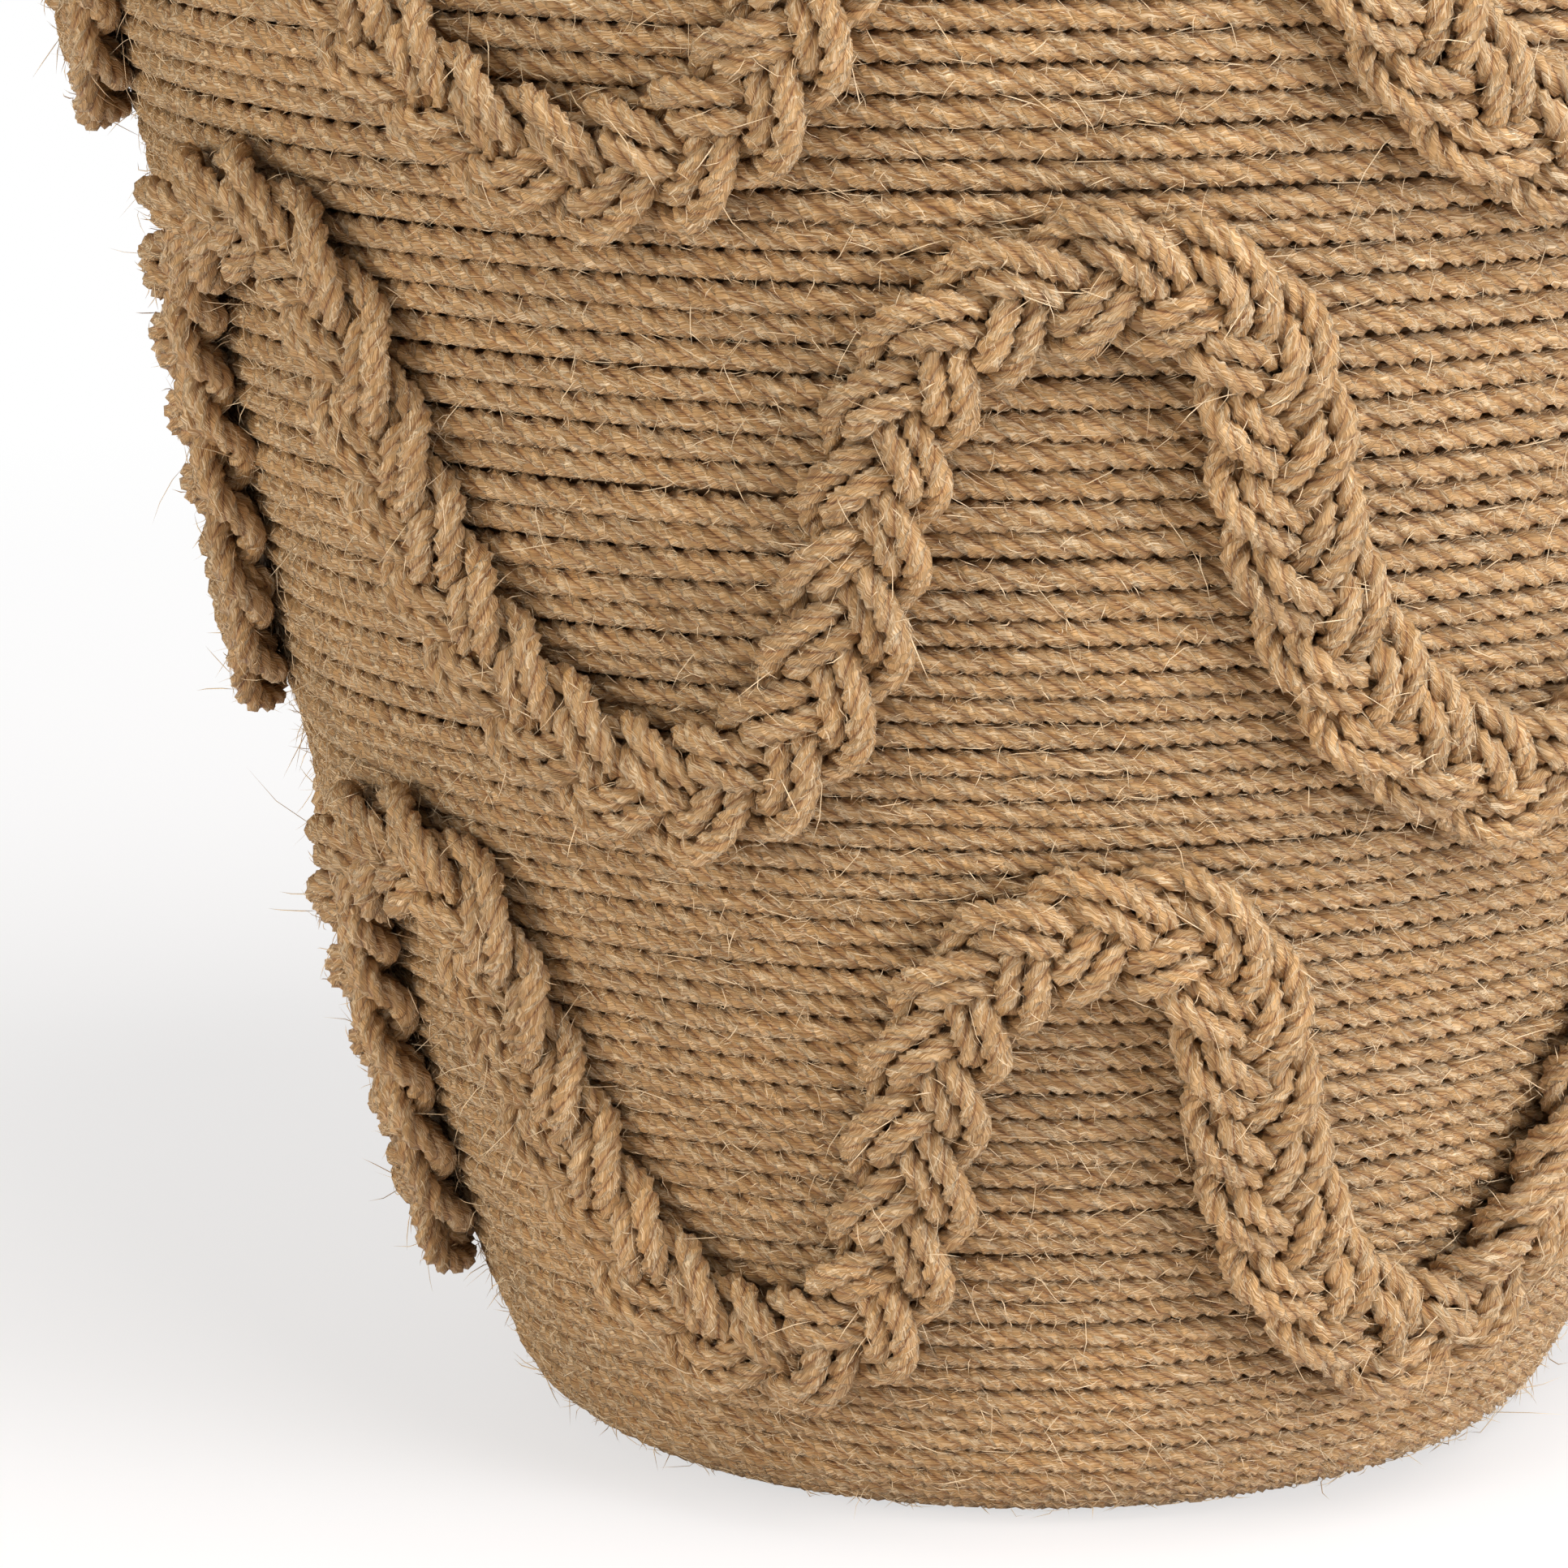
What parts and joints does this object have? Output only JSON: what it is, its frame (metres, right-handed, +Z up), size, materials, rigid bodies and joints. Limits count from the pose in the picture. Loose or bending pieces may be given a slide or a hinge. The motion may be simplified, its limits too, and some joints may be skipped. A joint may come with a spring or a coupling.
{
  "type": "laundry hamper with lid",
  "caption": "Round rope-wound laundry hamper that widens upwards, with wavy braids laid round its wall and a domed lift-off lid with a rope loop.",
  "frame": {"origin": "middle of the base, on the floor", "axes": "+Z up along the hamper's axis, front towards -Y"},
  "size_m": [0.4436, 0.4616, 0.5911],
  "materials": {
    "jute_rope": "hairy laid jute rope, matt",
    "jute_braid": "hairy plaited jute rope, matt",
    "jute_bead": "thicker laid jute rope, matt",
    "jute_handle": "thick laid jute rope, matt",
    "core_board": "moulded fibre board, matt"
  },
  "bodies": {
    "hamper": {"core_shell": "core_board", "base_rope": "jute_rope", "wall_rope_1": "jute_rope", "wall_rope_2": "jute_rope", "wall_rope_3": "jute_rope", "wall_rope_4": "jute_rope", "rim_rope": "jute_bead", "wave_braid_1": "jute_braid", "wave_braid_2": "jute_braid", "wave_braid_3": "jute_braid"},
    "lid": {"lid_core": "core_board", "lid_rope_1": "jute_rope", "lid_rope_2": "jute_rope", "lid_edge_rope": "jute_bead", "lid_handle": "jute_handle", "handle_knot": "jute_handle"}
  },
  "joints": [
    {"name": "lid_lift", "type": "slide", "parent": "hamper", "child": "lid", "axis": [0, 0, 1], "range_m": [0, 0.25]}
  ]
}
